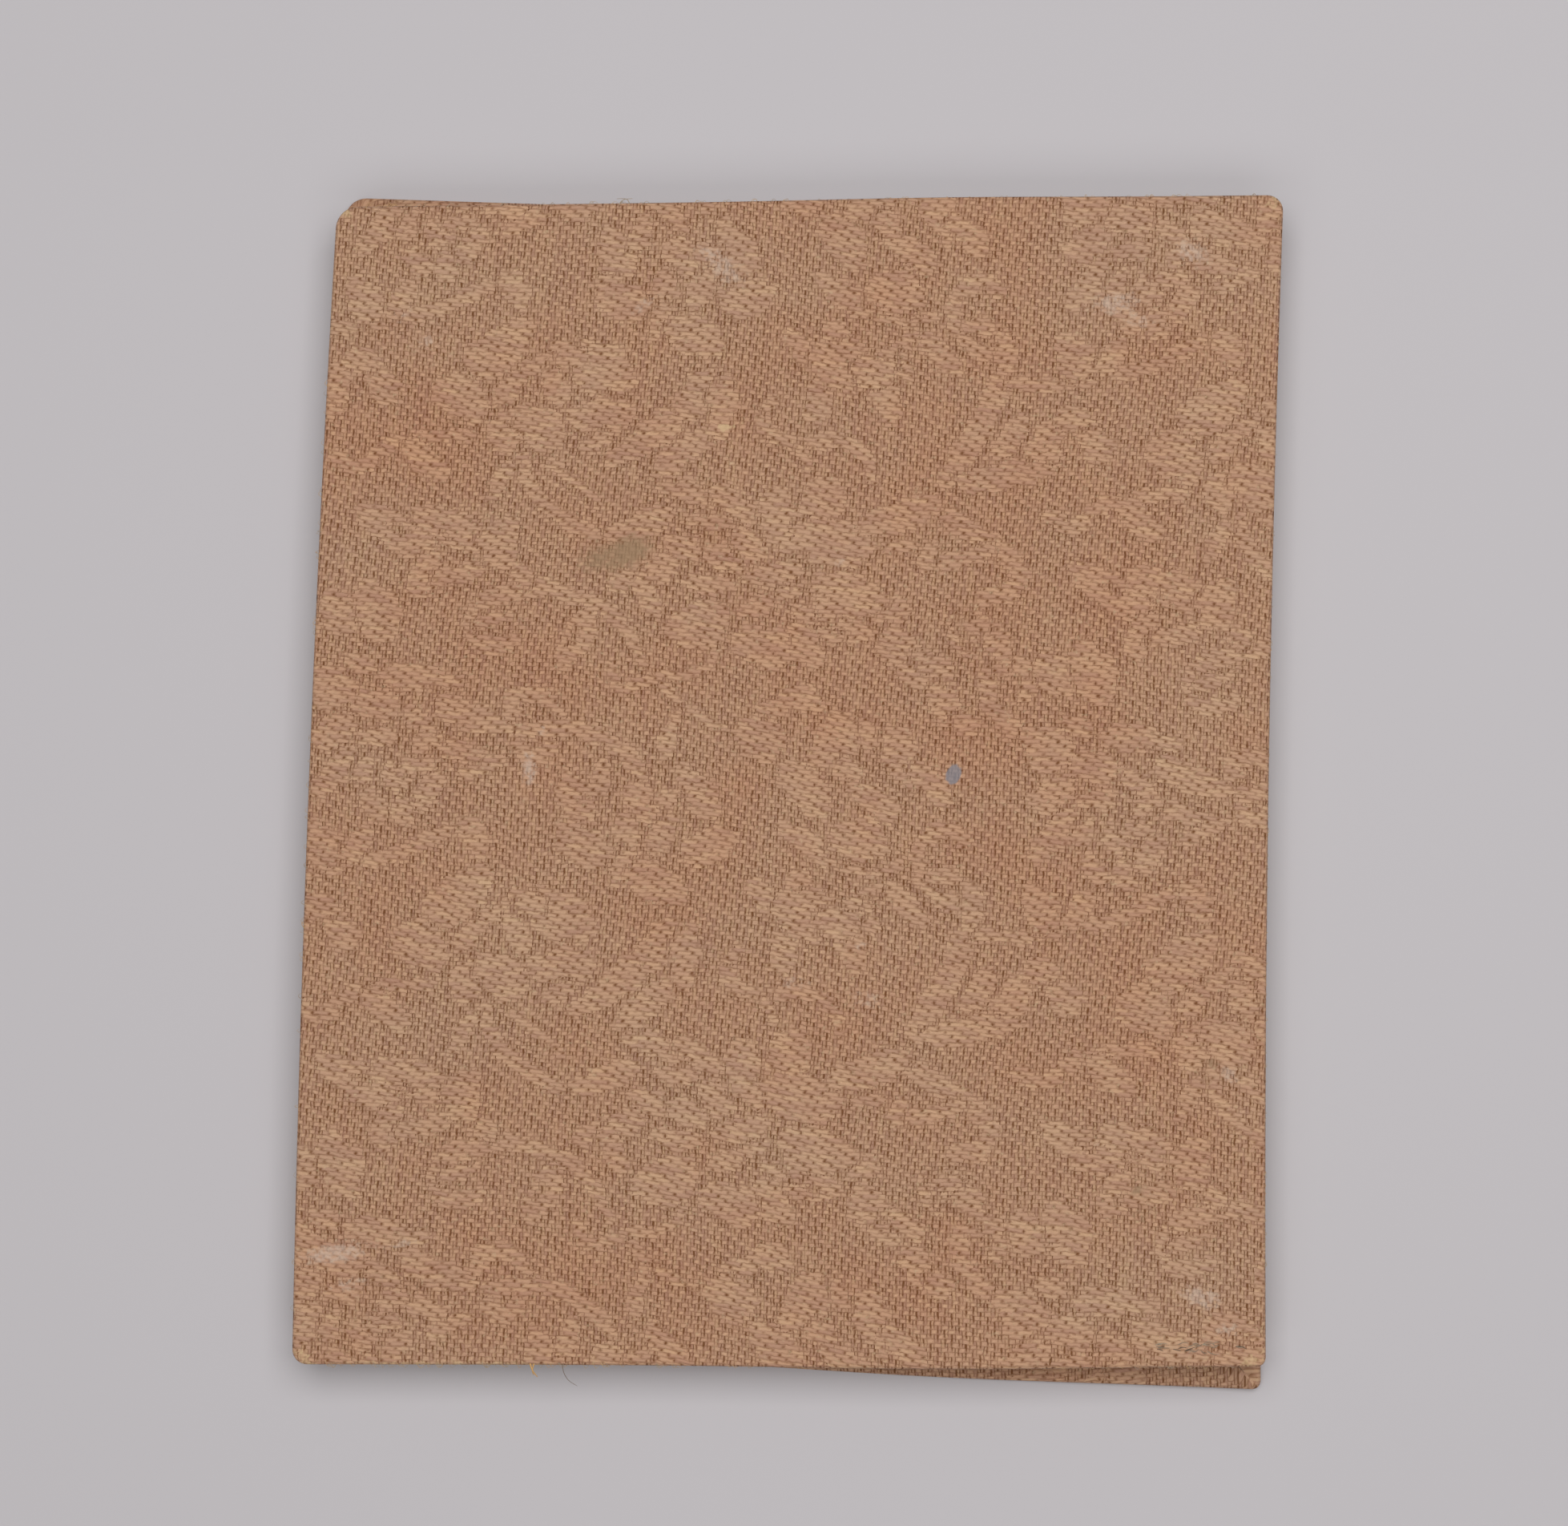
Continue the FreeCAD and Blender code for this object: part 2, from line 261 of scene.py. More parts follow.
# Stems and tendrils: half widths at both ends, then the points that each runs through.
STEMS = [
    (.8, .8, (-28, 17.4), (-29.6, 18.5), (-31.8, 17.4), (-32.6, 15), (-31, 13.2), (-28.2, 13.8)),
    (.6, .4, (-31.4, 15.6), (-29.4, 16.2), (-28.3, 17)),
    (1.0, .5, (-31, 18), (-26, 19.2), (-22, 18.2), (-18.6, 16.8), (-16.2, 14.2), (-14.9, 11.4)),
    (1.2, .9, (-34.5, 26.4), (-31, 23), (-27.4, 20.2)),
    (.7, .7, (-28, 32.4), (-26.6, 29), (-23.4, 26.2), (-20.4, 24.7)),
    (.45, .45, (-25.2, 32.2), (-23, 30.4), (-19.8, 27.9)),
    (.45, .5, (-18.3, 11.3), (-16.8, 8.9), (-13, 10), (-9, 10.5), (-7.4, 12.6)),
    (.45, .3, (-12.6, 8.8), (-9.6, 6.3), (-6.4, 4.7)),
    (.9, .7, (-27.6, 6.2), (-28.1, 7.6), (-26, 8.4), (-23.6, 7), (-22.7, 5)),
    (.9, .7, (-27, 2.6), (-25.4, 1.9), (-24, 2.8)),
    (.8, .8, (-27, 4.6), (-24, 4.8), (-20.4, 4.6), (-17, 2.8), (-14.6, .2)),
    (1.0, .9, (12.6, 28.2), (16.6, 25.4), (20.8, 22.8), (23, 20.2), (22, 18.4), (19.6, 17.9)),
    (.5, .7, (8.6, 23), (12, 23.4)),
    (.8, .7, (14.4, 21.8), (17, 21.6), (19.8, 22.6)),
    (.9, .9, (20, 10), (20.4, 7), (23.4, 4.2)),
    (.8, .8, (21.6, 10.6), (23.2, 11), (24.6, 9.4), (23.6, 7.6)),
    (.5, .5, (4.4, -8.9), (8, -9.8), (11.8, -9.2)),
    (.6, .5, (4.4, -14), (8, -12.6), (9.8, -11.2)),
    (.8, .8, (18, -6.8), (16.4, -5.6), (14, -7), (13.6, -9.2), (15, -12), (17.8, -13.7)),
    (.7, .7, (15.2, -10.2), (17.4, -10.6), (19.2, -13)),
    (1.0, 1.4, (18.9, -12), (19, -15.4), (17, -20), (14, -25.6)),
    (.55, .8, (19.6, -16.2), (25, -16.5), (29.4, -15.1)),
    (.75, .7, (-44, -8.4), (-40, -8.2), (-36.4, -6.6), (-33, -4.8)),
    (.9, .5, (-5.2, -18.4), (-5.2, -20.4), (-2, -22.4), (2, -21.8), (5, -23.4), (6, -26)),
    (.5, .4, (-5.4, -18.4), (-4.2, -17.8)),
    (.4, .3, (-1.6, -22.6), (-.6, -25)),
    (.8, .6, (-48.8, -23.2), (-46.4, -24.2), (-44, -22.2), (-40, -21.2), (-35.6, -21)),
]


def wander(x, y):
    """The uneven run of a hand-drawn outline."""
    return (0.16 * np.sin(2.1 * x + 1.3 * np.sin(1.7 * y))
            + 0.12 * np.sin(2.7 * y + 1.9 * np.sin(1.3 * x)) + 0.05 * np.sin(5.3 * x + 3.7 * y))


def oval_place(x, y, oval):
    """Places along and across an oval, as shares of its half length and half width."""
    middle_x, middle_y, half_length, half_width, turn = oval
    cosine, sine = math.cos(math.radians(turn)), math.sin(math.radians(turn))
    along = ((x - middle_x) * cosine + (y - middle_y) * sine) / half_length
    across = ((y - middle_y) * cosine - (x - middle_x) * sine) / half_width
    return along, across


def petal_depth(x, y, petal):
    """How deep a point lies inside a petal with a lobed rim: above 0 inside it, in millimetres."""
    middle_x, middle_y, half_length, half_width, _ = petal
    along, across = oval_place(x, y, petal)
    way = np.arctan2(across, along)
    rim = (1.03 + 0.07 * np.cos(3 * way + middle_x) + 0.05 * np.cos(5 * way + middle_y)
           + 0.03 * np.cos(11 * way + middle_x + middle_y))
    share = np.hypot(along, across) / rim
    steepness = np.hypot(along / half_length, across / half_width)
    return share * (1 - share) / np.maximum(steepness, 1e-6)


def smooth_line(points, steps=6):
    """A smooth line through given points."""
    spots = np.array([points[0], *points, points[-1]], float)
    t = np.linspace(0, 1, steps, endpoint=False)[:, None]
    runs = [0.5 * (2 * start + (end - before) * t
                   + (2 * before - 5 * start + 4 * end - after) * t ** 2
                   + (3 * start - before - 3 * end + after) * t ** 3)
            for before, start, end, after in zip(spots, spots[1:], spots[2:], spots[3:])]
    return np.vstack([*runs, spots[-1:]])


def stem_depth(x, y, stem):
    """How deep a point lies inside a stem that narrows from one half width to the other."""
    first, last, *points = stem
    line = smooth_line(points)
    deepest = np.full(x.shape, -np.inf)
    widths = np.linspace(first, last, len(line))
    for (ax, ay), (bx, by), width in zip(line, line[1:], widths):
        dx, dy = bx - ax, by - ay
        share = np.clip(((x - ax) * dx + (y - ay) * dy) / (dx * dx + dy * dy + 1e-9), 0, 1)
        deepest = np.maximum(deepest, width - np.hypot(x - ax - share * dx, y - ay - share * dy))
    return deepest


def figure_depth(x, y):
    """The woven figure: above 0 where the cloth shows weft, below 0 in the ground.

    Each shape pushes back what lies behind it by a narrow gap, as in any woven flower."""
    depth = np.full(x.shape, OPEN_GROUND)
    copies = [(across, up) for across in range(-2, 3) for up in range(-2, 3)]

    def lay(shape, middle, reach, measure, is_eye=False):
        """Lays one shape of the repeat into the figure, wherever it comes back."""
        for across, up in copies:
            shift_x = across * STEP_ACROSS[0] + up * STEP_UP[0]
            shift_y = across * STEP_ACROSS[1] + up * STEP_UP[1]
            near = (abs(x - shift_x - middle[0]) < reach) & (abs(y - shift_y - middle[1]) < reach)
            if not near.any():
                continue
            near_x, near_y = x[near] - shift_x, y[near] - shift_y
            inside = measure(near_x + wander(near_y, near_x), near_y + wander(near_x, near_y), shape)
            if is_eye:
                depth[near] = np.minimum(depth[near], -inside)
            else:
                depth[near] = np.maximum(np.minimum(depth[near], -(inside + GAP)), inside)

    for stem in STEMS:
        points = np.array(stem[2:])
        span = points.max(0) - points.min(0)
        lay(stem, points.min(0) + span / 2, span.max() / 2 + STEM_MARGIN, stem_depth)
    for petal in PETALS:
        lay(petal, petal[:2], petal[2] + PETAL_MARGIN, petal_depth)
    for eye in EYES:
        lay(eye, eye[:2], eye[2] + EYE_MARGIN, petal_depth, is_eye=True)
    return depth


def change_per_thread(depth, threads, axis):
    """How the figure's depth changes from one thread to the next, over the face of a cover."""
    shape = (ROWS + 1, COLUMNS + 1)
    size = shape[0] * shape[1]
    change = np.gradient(depth[:size].reshape(shape), axis=axis)
    return (change / np.gradient(threads[:size].reshape(shape), axis=axis)).ravel()


def thread_places(x, y):
    """How many ends and picks lie between a point of the flat cloth and its middle.

    Pulled and smoothed by hand, they drift by about one thread, in slow waves."""
    weft = np.array([math.cos(WEFT_TURN), math.sin(WEFT_TURN)]) * END_PITCH
    warp = np.array([math.cos(WARP_TURN), math.sin(WARP_TURN)]) * PICK_PITCH
    ends, picks = np.linalg.solve(np.array([weft, warp]).T, np.stack([x, y]))
    ends += 0.7 * np.sin(0.13 * y + 1.1 * np.sin(0.13 * x))
    picks += 0.9 * np.sin(0.12 * x + 0.9 * np.sin(0.11 * y))
    picks += 0.2 * np.sin(0.8 * x + 0.4 * y)
    return ends, picks


def rounded_plan(across, up, inset, half_width, half_height):
    """Points in plan, from their places across and up the outline and their distances in from it.

    A place runs from -1 to 1."""
    half_width, half_height = half_width - inset, half_height - inset
    x, y = across * half_width, up * half_height
    radius = np.where(across > 0, np.where(up > 0, *HINGE_CORNERS), np.where(up > 0, *FORE_CORNERS))
    radius = np.maximum(radius - inset, 1e-6)
    over_x = np.maximum(abs(x) - half_width + radius, 0) / radius
    over_y = np.maximum(abs(y) - half_height + radius, 0) / radius
    pull = np.maximum(over_x, over_y) / np.maximum(np.hypot(over_x, over_y), 1e-9)
    pull = np.where(np.minimum(over_x, over_y) > 0, pull, 1)
    x = np.where(over_x > 0, np.sign(x) * (half_width - radius + over_x * pull * radius), x)
    y = np.where(over_y > 0, np.sign(y) * (half_height - radius + over_y * pull * radius), y)
    return x, y


def turned_path():
    """The cloth's section from the end of its face round the board to its raw edge, and back.

    Each step is the distance in from the outline, the height above the cover's inner face
    and the way along the cloth from where its face ends."""
    arc = EDGE_ROUND * math.pi / 2
    side = COVER_DEPTH - 2 * EDGE_ROUND
    bends = [math.radians(90 * n / (BEND_POINTS - 1)) for n in range(BEND_POINTS)]
    out = [(EDGE_ROUND * (1 - math.sin(bend)), COVER_DEPTH - EDGE_ROUND * (1 - math.cos(bend)),
            EDGE_ROUND * bend) for bend in bends]
    out += [(EDGE_ROUND * (1 - math.cos(bend)), EDGE_ROUND * (1 - math.sin(bend)),
             arc + side + EDGE_ROUND * bend) for bend in bends]
    under = 2 * arc + side - EDGE_ROUND
    out += [(step, 0.0, under + step) for step in FLAP_STEPS]
    back = [(step, CLOTH, under + step) for step in FLAP_STEPS[:MITRE_STEP - 1:-1]]
    back += [(CLOTH, CLOTH, under), (CLOTH, COVER_DEPTH - CLOTH, arc)]
    return np.array(out + back)


def grid_faces(count_up, count_across, first):
    """Quads between the points of a grid, numbered row by row from first."""
    spot = np.arange(count_up * count_across).reshape(count_up, count_across) + first
    return np.stack([spot[:-1, :-1], spot[:-1, 1:], spot[1:, 1:], spot[1:, :-1]], -1).reshape(-1, 4)


def cloth_places(half_width, half_height):
    """The points and faces of one cover's cloth: first its face, then a strip for each edge.

    A point is its place across and up the outline, its distance in, its height, its way along
    the cloth, and where it lies: 0 on the face, 1 in a strip at head or tail, 2 in a side one."""
    columns, rows = np.linspace(-1, 1, COLUMNS + 1), np.linspace(-1, 1, ROWS + 1)
    path = turned_path()
    mitred = np.where(path[:, 0] > FLAP_STEPS[MITRE_STEP], MITRE_GAP, 0)
    flap_start = 2 * BEND_POINTS
    raw_edge = flap_start + len(FLAP_STEPS)

    across, up = np.meshgrid(columns, rows)
    zero = np.zeros(across.shape)
    face_place = np.stack([across, up, zero + EDGE_ROUND, zero + COVER_DEPTH, zero, zero], -1)
    places, faces, rim = [face_place.reshape(-1, 6)], [grid_faces(*across.shape, 0)], []
    count = across.size
    for run, edge, half, is_side in (
            (columns, -1.0, half_width, False), (rows, 1.0, half_height, True),
            (columns[::-1], 1.0, half_width, False), (rows[::-1], -1.0, half_height, True)):
        span = np.outer(1 - mitred / (half - path[:, 0]), run)
        on_edge = np.full(span.shape, edge)
        pair = (on_edge, span) if is_side else (span, on_edge)
        spread = np.repeat(path[:, None, :], len(run), 1)
        strip = np.full((*span.shape, 1), 2 if is_side else 1)
        places.append(np.concatenate([np.stack(pair, -1), spread, strip], -1).reshape(-1, 6))
        faces.append(grid_faces(*span.shape, count))

        # Both ends of the flap are cut, so each is closed from its outside to its inside.
        spot = np.arange(span.size).reshape(span.shape) + count
        for end in (0, -1):
            outside = spot[flap_start + MITRE_STEP:raw_edge, end]
            inside = spot[raw_edge:-2, end][::-1]
            faces.append(np.stack([outside[:-1], outside[1:], inside[1:], inside[:-1]], -1))
        rim.extend(spot[-1, :-1].tolist())
        count += span.size
    return np.concatenate(places).T, [*np.concatenate(faces).tolist(), rim]


def worn_edges(x, y, half_height):
    """Moves head and tail outwards where handling has pushed them, and bows the sides."""
    for edge, middle, reach, push in ((1, 14, 16, 0.2), (-1, 17, 20, 0.35)):
        near_edge = np.clip(edge * y / half_height, 0, 1) ** 8
        y = y + edge * push * np.exp(-((x - middle) / reach) ** 2) * near_edge
    return x - SIDE_BOW * (1 - (y / half_height) ** 2), y


# Marks on the front cover: middle, half length, half width, turn and strength. Soil is yellowish
# dirt, scuffs are raised pale fibres, rubs show bare yellow threads, and ink is a grey-blue spot.
SOIL = [
    (-18.5, 22.4, 2.9, 1.6, 8, 1.15), (-16.7, 23.2, 1.9, 1.5, 20, .9), (-21.3, 22, 1.7, 1.6, 0, .5),
    (35.5, -41.7, .6, .45, 0, 1.5), (42.6, -29.1, .45, .4, 0, 1.2), (35.9, -44.2, 1.5, .8, 30, .4)]
SCUFFS = [
    (-9.4, 53.2, 2.2, 1.1, -30, .75), (-16.4, 48.2, 1.8, .9, 20, .6),
    (-7.6, 51.2, 1.8, 1.2, -20, .6), (39.2, 53, 2.0, 1.2, -30, .8), (31.7, 47.9, 2.6, 1.2, 8, .9),
    (34.2, 46, 1.5, .9, 0, .7), (-38.6, 44.7, .9, .6, 0, .7), (-41.3, 47.4, 1.3, .8, 20, .5),
    (-26.6, .7, .8, 2.0, 8, 1.0), (-25.4, 4.6, .5, .8, 0, .7), (-44.6, -48, 3.6, 1.1, 8, .95),
    (-37.6, -47, 1.8, .4, 12, .8), (-43, -51, 2.4, .7, 10, .6), (42.1, -52.3, 2.4, 1.1, -20, .9),
    (44.6, -55.4, 1.4, .8, 0, .7), (7.4, -17.3, .5, .3, 0, 1.3), (31.5, -37, .3, .2, 0, 1.6),
    (44.4, -30.2, 1.3, .6, -60, .8), (1, -21, 2.2, .9, 0, .45), (8.1, -22.7, 1.8, 1.2, -40, .5),
    (4.2, 21.6, .8, .6, 0, .6)]
RUBS = [
    (-7.8, 35.5, .75, .35, 10, 1.6), (-47.4, -58.2, 1.3, .7, -45, .75),
    (47.2, -58.4, 1.2, .7, 45, .65), (47.6, 58.4, 1.0, .8, 45, .7), (-47.6, 58.4, 1.0, .8, -45, .7),
    (-33, -59, 15, .4, 0, .6), (48.3, -4, 56, .35, 90, .5)]
INK = [(16.3, -.1, .75, 1.05, -12, 1.6)]

# Broad patches, pinker where strength is above 0 and greyer below: light and damp have faded
# the cloth unevenly, and the edge of an old water stain runs across its middle.
PATCHES = [
    (-39.9, 33.8, 6.5, 7, 0, 1), (-22, 10.5, 13, 4, 4, .8), (-5.9, -3, 2.4, 5.5, 0, .9),
    (9, 5, 11, 3, -8, 1), (26, 14, 12, 9, 10, .9), (22.3, -9.5, 6, 2.6, -30, .9),
    (33.2, -20, 3.6, 4.5, 0, 1.1), (37, -28, 2.8, 3.6, 10, 1.2), (17, 33, 14, 11, 0, .35),
    (12.2, 52, 8, 6, 0, .5), (-19.7, -49, 12, 4, 0, .6), (-41.2, 9.5, 6, 2.2, 0, .5),
    (-39.5, 51.6, 10, 7, 0, -1), (-12, 52.6, 10, 6, 0, -.8), (35.1, 52, 9, 6, 0, -1.1),
    (7.3, -13, 11, 7, 0, -.7), (-1, -36, 13, 8, 0, -.8), (-31, -25, 12, 10, 0, -.45),
    (-39.4, -40.3, 8, 5, 0, -.5), (39.2, 0, 6, 6, 0, -.6), (30, -52, 8, 5, 0, -.4),
    (42, -50, 7, 8, 0, -.6)]


def marked(x, y, marks, crispness=1.5):
    """How strongly each point lies within these marks."""
    mask = np.zeros(x.shape)
    for *oval, strength in marks:
        along, across = oval_place(x, y, oval)
        mask += strength * np.exp(-(along * along + across * across) ** crispness)
    return mask


def new_piece(name, points, faces):
    """A mesh piece from points in millimetres."""
    mesh = bpy.data.meshes.new(name)
    mesh.from_pydata((points * MM).tolist(), [], faces)
    piece = bpy.data.objects.new(name, mesh)
    bpy.context.scene.collection.objects.link(piece)
    return piece


def keep_values(mesh, label, values):
    """Keeps a number, or three, at each point of a mesh, for its material to read."""
    kind, key = ("FLOAT", "value") if values.ndim == 1 else ("FLOAT_VECTOR", "vector")
    kept = mesh.attributes.new(label, kind, "POINT").data
    kept.foreach_set(key, values.astype(np.float32).ravel())


def cover_middle(side):
    """The middle of a cover in plan, in millimetres."""
    low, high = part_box(side + "_cloth")
    return low.x / MM + COVER_WIDTH / 2 + SIDE_BOW, (low.y + high.y) / MM / 2


def cover_cloth(side):
    """The cloth of one cover as a closed sheet."""
    height, skew, outward = COVERS[side]
    half_width, half_height = COVER_WIDTH / 2, height / 2
    (across, up, inset, level, along, strip), faces = cloth_places(half_width, half_height)
    x, y = rounded_plan(across, up, inset, half_width, half_height)
    is_face = along <= 0

    # Laid flat, the cloth goes on past the outline, and each flap keeps its own threads straight.
    flat_x, flat_y = rounded_plan(across, up, EDGE_ROUND - along, half_width, half_height)
    flat_x = np.where((strip == 1) & ~is_face, x, flat_x) + CUT_AT[side][0]
    flat_y = np.where((strip == 2) & ~is_face, y, flat_y) + CUT_AT[side][1]
    ends, picks = thread_places(flat_x, flat_y)
    depth = figure_depth(flat_x, flat_y)
    slope, wear, stain = np.zeros((3, len(x), 3))
    for column, threads, axis in ((0, ends, 1), (1, picks, 0)):
        change = change_per_thread(depth, threads, axis)
        slope[:len(change), column] = change

    x, y = worn_edges(x, y, half_height)
    if side == "front":
        is_outside = inset < FLAP_STEPS[0]
        for column, marks in enumerate((SOIL, SCUFFS, RUBS)):
            wear[:, column] = marked(x, y, marks) * is_outside
        stain[:, 0] = marked(x, y, INK, crispness=3) * is_outside
        stain[:, 1] = marked(x, y, PATCHES, crispness=1) * is_outside

    y = y + x * math.tan(math.radians(skew))
    low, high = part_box(side + "_cloth")
    inner_face = (low.z if outward > 0 else high.z) / MM
    raised = RELIEF * np.clip(depth / RELIEF_SLOPE + 0.5, 0, 1) - RELIEF
    z = inner_face + outward * (level + raised * is_face)
    middle_x, middle_y = cover_middle(side)
    piece = new_piece(side + "_cloth_sheet", np.stack([x + middle_x, y + middle_y, z], -1), faces)
    mesh = piece.data
    for label, values in (("figure", depth), ("slope", slope), ("wear", wear), ("stain", stain)):
        keep_values(mesh, label, values)
    corners = np.zeros(len(mesh.loops), np.int32)
    mesh.loops.foreach_get("vertex_index", corners)
    thread_map = mesh.uv_layers.new(name="threads")
    thread_map.data.foreach_set("uv", np.stack([ends, picks], -1)[corners].astype(np.float32).ravel())

    welded = bmesh.new()
    welded.from_mesh(mesh)
    bmesh.ops.remove_doubles(welded, verts=welded.verts, dist=1e-6)
    bmesh.ops.recalc_face_normals(welded, faces=welded.faces)
    welded.to_mesh(mesh)
    welded.free()
    mesh.shade_smooth()
    return piece


# The satin weave. Each cell of the thread map is one crossing of an end and a pick. In the
# ground the ends float over four picks, in the figure the picks float over four ends. Shade in the
# gaps and hollows between threads is painted into the weave's colour, as a mix towards a dark
# painted shade colour, the third colour that goes in.
damask, given, result = new_group(
    "damask weave",
    {"Threads": "Vector", "Figure": "Float", "Slope": "Vector", "Weft": "Color", "Warp": "Color",
     "Painted shade": "Color"},
    {"Color": "Color", "Height": "Float"})


def reckon(operation, *values, **settings):
    """One sum on numbers in the weave."""
    return maths(damask, operation, *values, **settings)


def rise(value, low, high):
    """A smooth rise in the weave, from 0 at low to 1 at high."""
    return between(damask, value, low, high)


def mixed(share, first, second):
    """A number between two others, by a share of the second."""
    return node(damask, "Mix", {0: share, 2: first, 3: second}, data_type="FLOAT").outputs[0]


def from_middle(value):
    """0 in the middle of a thread and 1 at its edges."""
    return reckon("ABSOLUTE", reckon("MULTIPLY_ADD", value, 2.0, -1.0))


def toned(color, tone, hue_drift, value_drift):
    """A thread's colour, redder or yellower and paler or darker by its own tone."""
    return node(damask, "HueSaturation", {
        "Color": color, "Hue": reckon("MULTIPLY_ADD", tone, hue_drift, 0.5 - hue_drift / 2),
        "Value": reckon("MULTIPLY_ADD", tone, value_drift, 1 - value_drift / 2)}).outputs[0]


def on_map(operation, *places):
    """One sum on places in the thread map."""
    return node(damask, "VectorMath", enumerate(places), operation=operation).outputs


def chance_at(place):
    """A number from 0 to 1 that belongs to a crossing or a float."""
    return node(damask, "TexWhiteNoise", {"Vector": place}, noise_dimensions="2D").outputs["Value"]


def along_threads(stretch):
    """A noise over the thread map, stretched so that it follows the picks or the ends."""
    place = on_map("MULTIPLY", threads, (*stretch, 0))[0]
    return node(damask, "TexNoise", {"Vector": place, "Scale": 1.0, "Detail": 3}).outputs["Fac"]


# Thick and thin places push the threads aside.
slub = node(damask, "TexNoise", {"Vector": given["Threads"], "Scale": 0.5, "Detail": 3}).outputs["Color"]
pushed = on_map("SUBTRACT", slub, (0.5, 0.5, 0.5))[0]
threads = on_map("MULTIPLY_ADD", pushed, (0.9, 0.8, 0), given["Threads"])[0]
cell = on_map("FLOOR", threads)[0]
part = on_map("FRACTION", threads)[0]
end, pick, _ = node(damask, "SeparateXYZ", {0: cell}).outputs
part_u, part_v, _ = node(damask, "SeparateXYZ", {0: part}).outputs
chance = chance_at(cell)

# The figure changes only from one crossing to the next, so it is read at the cell's middle.
to_middle = on_map("SUBTRACT", (0.5, 0.5, 0), part)[0]
change = on_map("DOT_PRODUCT", to_middle, given["Slope"])["Value"]
depth_there = reckon("ADD", given["Figure"], change)
depth_there = reckon("ADD", depth_there, reckon("MULTIPLY_ADD", chance, 0.18, -0.02))
in_figure = rise(depth_there, -0.04, 0.04)

# How far a pick has run since it last passed over an end in the ground, or under one in the
# figure, from 0 to 5. The ends on both sides of that crossing close up beneath the pick.
step = reckon("MULTIPLY_ADD", pick, 2.0, end)
step_there = reckon("ADD", step, part_u)
run = reckon("FLOORED_MODULO", step_there, 5.0)
is_before = reckon("GREATER_THAN", run, 2.5)
from_binding = reckon("SUBTRACT", run, reckon("MULTIPLY", is_before, 5.0))
to_binding = reckon("ABSOLUTE", from_binding)
across_pick = from_middle(part_v)
is_odd = reckon("FLOORED_MODULO", end, 2.0)
leaning = reckon("MULTIPLY_ADD", is_odd, 0.14, -0.07)
across_end = from_middle(reckon("ADD", part_u, leaning))

# In the figure the sunken end at each binding is painted as a dot of shade between two smooth floats,
# each a little out of line, and painted shade lies in the gaps between floats.
float_number = reckon("FLOOR", reckon("DIVIDE", step_there, 5.0))
float_chance = chance_at(node(damask, "CombineXYZ", {0: float_number, 1: pick}).outputs[0])
out_of_line = reckon("MULTIPLY_ADD", float_chance, 0.4, -0.35)
out_of_line = reckon("MULTIPLY_ADD", run, 0.06, out_of_line)
across_float = from_middle(reckon("ADD", part_v, out_of_line))
float_gap_shade = reckon("MULTIPLY", rise(across_float, 0.25, 1.3), 0.5)
leaned = reckon("MULTIPLY_ADD", from_binding, -0.25, part_v)
binding_shade = reckon("MULTIPLY", rise(to_binding, 1.05, 0.0), rise(from_middle(leaned), 1.5, 0.1))
figure_shade = reckon("MAXIMUM", reckon("MULTIPLY", binding_shade, 0.75), float_gap_shade)

# In the ground a pick shows as a pale bead, a little aslant. The ends between two beads lie
# apart, and the shade painted in the gaps beside them changes in depth from one to the next. A
# little painted shade also lies in the gaps between picks.
slant = reckon("MULTIPLY_ADD", part_v, -0.6, 0.3)
to_bead = reckon("ABSOLUTE", reckon("ADD", from_binding, slant))
bead = reckon("MULTIPLY", rise(to_bead, 0.8, 0.35), rise(across_pick, 1.1, 0.4))
beside_bead = reckon("SUBTRACT", 1.0, bead)
end_gap_shade = None
for gap_at, below, above in ((1.0, 0.3, 1.1), (2.0, 0.1, 1.15), (3.0, 1.05, 0.9), (4.0, 0.8, 0.8)):
    is_here = reckon("COMPARE", run, gap_at, 0.5)
    stretch = reckon("MULTIPLY", is_here, mixed(part_v, below, above))
    end_gap_shade = stretch if end_gap_shade is None else reckon("ADD", end_gap_shade, stretch)
end_gap_shade = reckon("MULTIPLY", end_gap_shade, rise(across_end, 0.22, 1.05))
pick_gap_shade = reckon("MULTIPLY", rise(across_pick, 0.4, 1.0), 0.4)
end_gap_shade = reckon("MULTIPLY", reckon("MAXIMUM", end_gap_shade, pick_gap_shade), beside_bead)
shade = mixed(in_figure, end_gap_shade, figure_shade)
shade = reckon("MULTIPLY", shade, reckon("MULTIPLY_ADD", chance, 0.9, 0.55))

# Painted shade: a narrow strip of ground beside each petal is darkened towards the shade colour.
shade_beside_petal = reckon("MULTIPLY", rise(depth_there, -0.5, -0.15), rise(depth_there, 0.05, -0.05))
shade = reckon("MULTIPLY_ADD", shade_beside_petal, 0.12, shade)

# Fibres run along each thread, and stand out of it here and there: a noise along the threads deepens or
# lightens the painted shade in streaks.
weft_up = reckon("MAXIMUM", in_figure, bead)
fibre = mixed(weft_up, along_threads((4.2, 0.7)), along_threads((0.7, 4.2)))
fibre_shade = reckon("MULTIPLY_ADD", fibre, 0.7, -0.32)
shown_shade = reckon("ADD", shade, fibre_shade, use_clamp=True)

# Every thread has its own tone, which drifts along it, and floats differ from their neighbours.
thread_number = mixed(weft_up, end, pick)
float_tone = chance_at(node(damask, "CombineXYZ", {0: float_number, 1: thread_number}).outputs[0])
thread_tone = mixed(weft_up, along_threads((0.6, 0.03)), along_threads((0.03, 0.45)))
thread_color = blended(damask, weft_up, given["Warp"], given["Weft"])
thread_color = toned(thread_color, thread_tone, 0.026, 0.25)
thread_color = toned(thread_color, float_tone, 0.012, 0.2)
